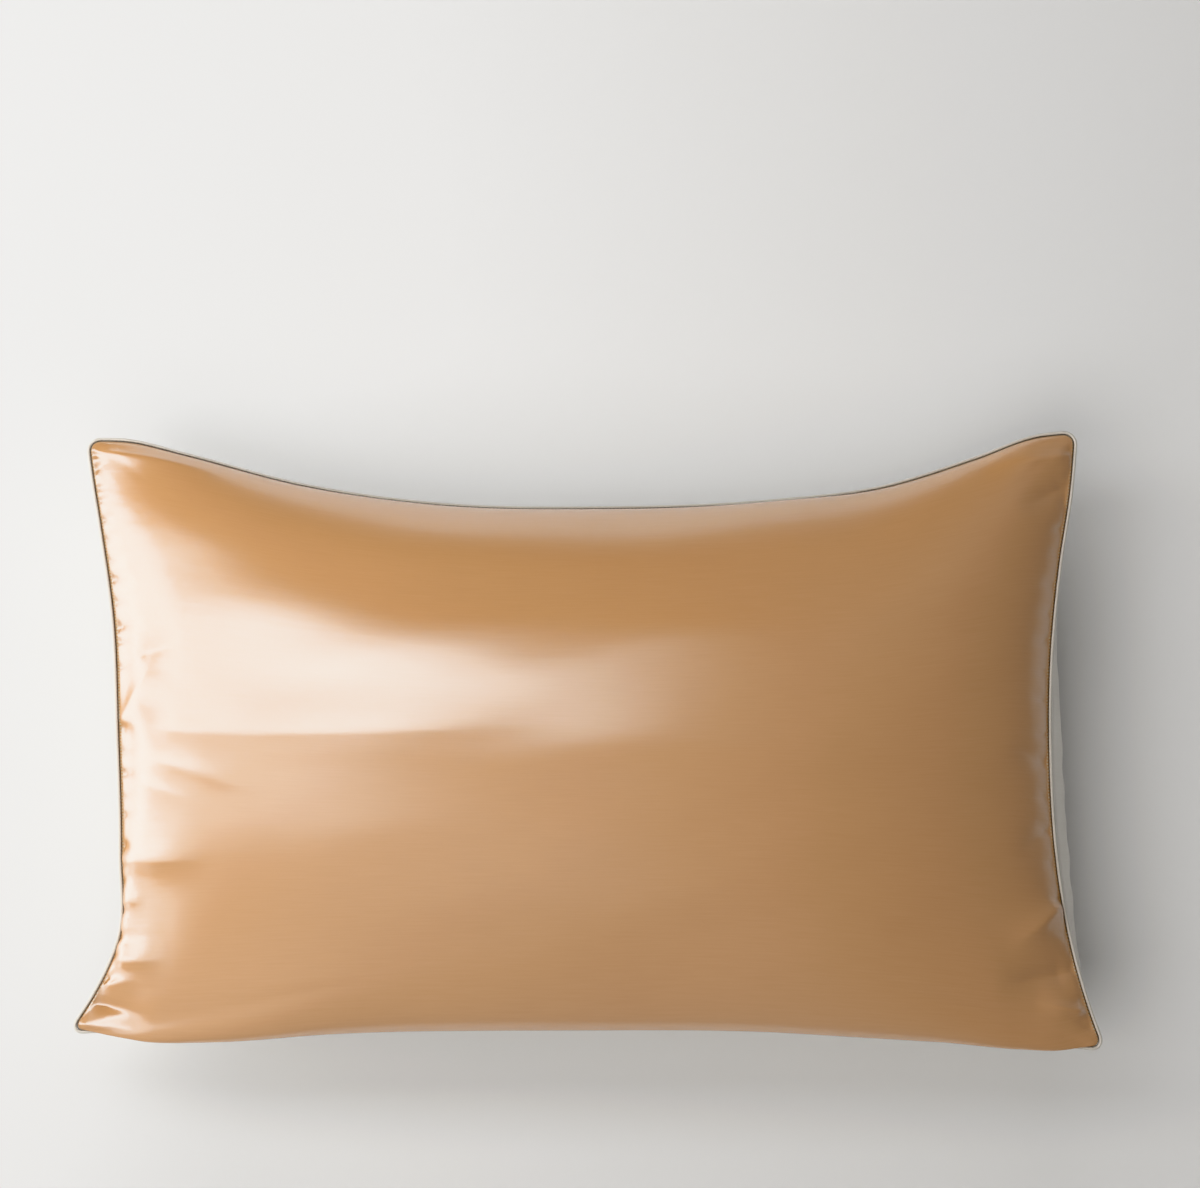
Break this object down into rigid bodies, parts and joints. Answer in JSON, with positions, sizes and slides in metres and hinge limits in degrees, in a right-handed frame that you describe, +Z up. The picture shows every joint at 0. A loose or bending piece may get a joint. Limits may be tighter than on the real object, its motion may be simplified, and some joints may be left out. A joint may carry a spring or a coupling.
{
  "type": "filled pillowcase",
  "caption": "Plump rectangular pillowcase with its filling, lying on its back: satin front, light back panel and a piped seam between thin corner ears.",
  "frame": {"origin": "on the floor under the middle of the box round the pillow as it lies on its back", "axes": "+X along the length, +Y from the side that the front hangs over to the opposite long side, +Z up, out of the front"},
  "size_m": [0.7168, 0.4382, 0.187],
  "materials": {
    "front_satin": "smooth satin with a soft sheen",
    "back_satin": "smooth satin",
    "piping_satin": "satin-covered cord"
  },
  "bodies": {
    "root": {"filled_front": "front_satin", "back_panel": "back_satin", "piping": "piping_satin"}
  },
  "joints": []
}
